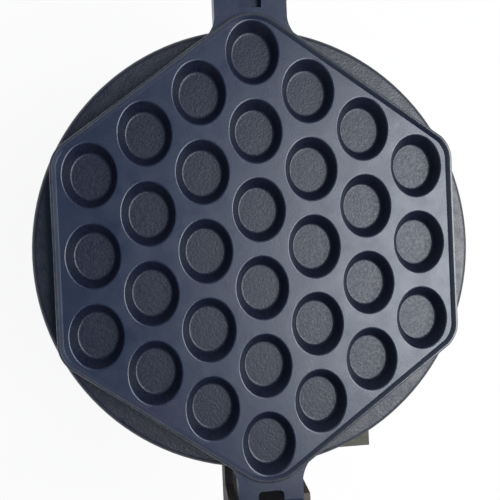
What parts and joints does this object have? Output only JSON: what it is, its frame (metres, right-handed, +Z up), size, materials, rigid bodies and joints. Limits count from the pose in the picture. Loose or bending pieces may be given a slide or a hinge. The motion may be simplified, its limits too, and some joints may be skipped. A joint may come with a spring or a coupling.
{
  "type": "bubble waffle maker",
  "caption": "Electric countertop bubble waffle maker with hinged non-stick cast plates of oval cells, a side hook latch, and a steel base with dials.",
  "frame": {"origin": "on the table under the middle of the machine's length and width, with the lid open", "axes": "+X to the machine's right as its user stands at the front, +Y to the front, where the handle closes down, +Z up"},
  "size_m": [0.2114, 0.3712, 0.5486],
  "materials": {
    "foot_rubber": "matte",
    "zinc_steel": "satin",
    "stainless_sheet": "satin",
    "stainless_plate": "satin",
    "polished_steel": "polished",
    "nonstick_cast_aluminium": "satin",
    "coated_housing": "satin",
    "element_steel": "satin",
    "ceramic": "satin",
    "mineral_wool": "matte",
    "black_plastic": "satin",
    "copper_tube": "satin",
    "lamp_lens": "gloss",
    "lead_sleeve": "matte",
    "handle_wood": "satin"
  },
  "bodies": {
    "base": {"rubber_feet": "foot_rubber", "foot_screws": "zinc_steel", "bottom_tray": "zinc_steel", "base_shell": "stainless_sheet", "front_panel": "stainless_sheet", "thermostat_body": "black_plastic", "thermostat_bulb": "copper_tube", "timer_body": "black_plastic", "switch_frame": "black_plastic", "pilot_lamps": "lamp_lens", "terminal_block": "ceramic", "cord_gland": "black_plastic", "support_posts": "stainless_sheet", "post_screws": "zinc_steel", "lead_conduit": "stainless_sheet", "lower_leads": "lead_sleeve", "lower_housing": "coated_housing", "lower_insulation": "mineral_wool", "lower_element": "element_steel", "lower_element_clamps": "zinc_steel", "lower_plate": "nonstick_cast_aluminium", "lower_plate_screws": "zinc_steel", "lower_terminal_ceramic": "ceramic", "lower_terminal_box": "stainless_sheet", "lower_box_screw": "zinc_steel", "hinge_bracket": "stainless_plate", "bracket_bolts": "zinc_steel", "hinge_pin": "polished_steel", "hinge_clip": "zinc_steel", "stop_bar": "polished_steel", "latch_pivot": "polished_steel"},
    "latch": {"latch_hook": "stainless_plate"},
    "thermostat_dial": {"thermostat_knob": "black_plastic", "thermostat_spindle": "polished_steel"},
    "timer_dial": {"timer_knob": "black_plastic", "timer_spindle": "polished_steel"},
    "rocker": {"switch_rocker": "black_plastic"},
    "lid": {"handle_ferrule": "polished_steel", "handle_grip": "handle_wood", "handle_nut": "polished_steel", "handle_screws": "zinc_steel", "handle_tang": "stainless_plate", "latch_stud": "polished_steel", "upper_box_screw": "zinc_steel", "upper_element": "element_steel", "upper_element_clamps": "zinc_steel", "upper_gland": "black_plastic", "upper_housing": "coated_housing", "upper_insulation": "mineral_wool", "upper_plate": "nonstick_cast_aluminium", "upper_plate_screws": "zinc_steel", "upper_terminal_box": "stainless_sheet", "upper_terminal_ceramic": "ceramic"}
  },
  "joints": [
    {"name": "lid_hinge", "type": "hinge", "parent": "base", "child": "lid", "pos_m": [0, -0.08649, 0.14595], "axis": [1, 0, 0], "range_deg": [-100, 0]},
    {"name": "latch_swing", "type": "hinge", "parent": "base", "child": "latch", "pos_m": [0.0189, 0.17451, 0.138], "axis": [1, 0, 0], "range_deg": [-30, 170]},
    {"name": "thermostat_turn", "type": "hinge", "parent": "base", "child": "thermostat_dial", "pos_m": [-0.042, 0.13401, 0.044], "axis": [0, -1, 0], "range_deg": [0, 270]},
    {"name": "timer_turn", "type": "hinge", "parent": "base", "child": "timer_dial", "pos_m": [0.006, 0.13401, 0.044], "axis": [0, -1, 0], "range_deg": [0, 300]},
    {"name": "switch_rock", "type": "hinge", "parent": "base", "child": "rocker", "pos_m": [0.047, 0.13251, 0.044], "axis": [1, 0, 0], "range_deg": [0, 20]}
  ]
}
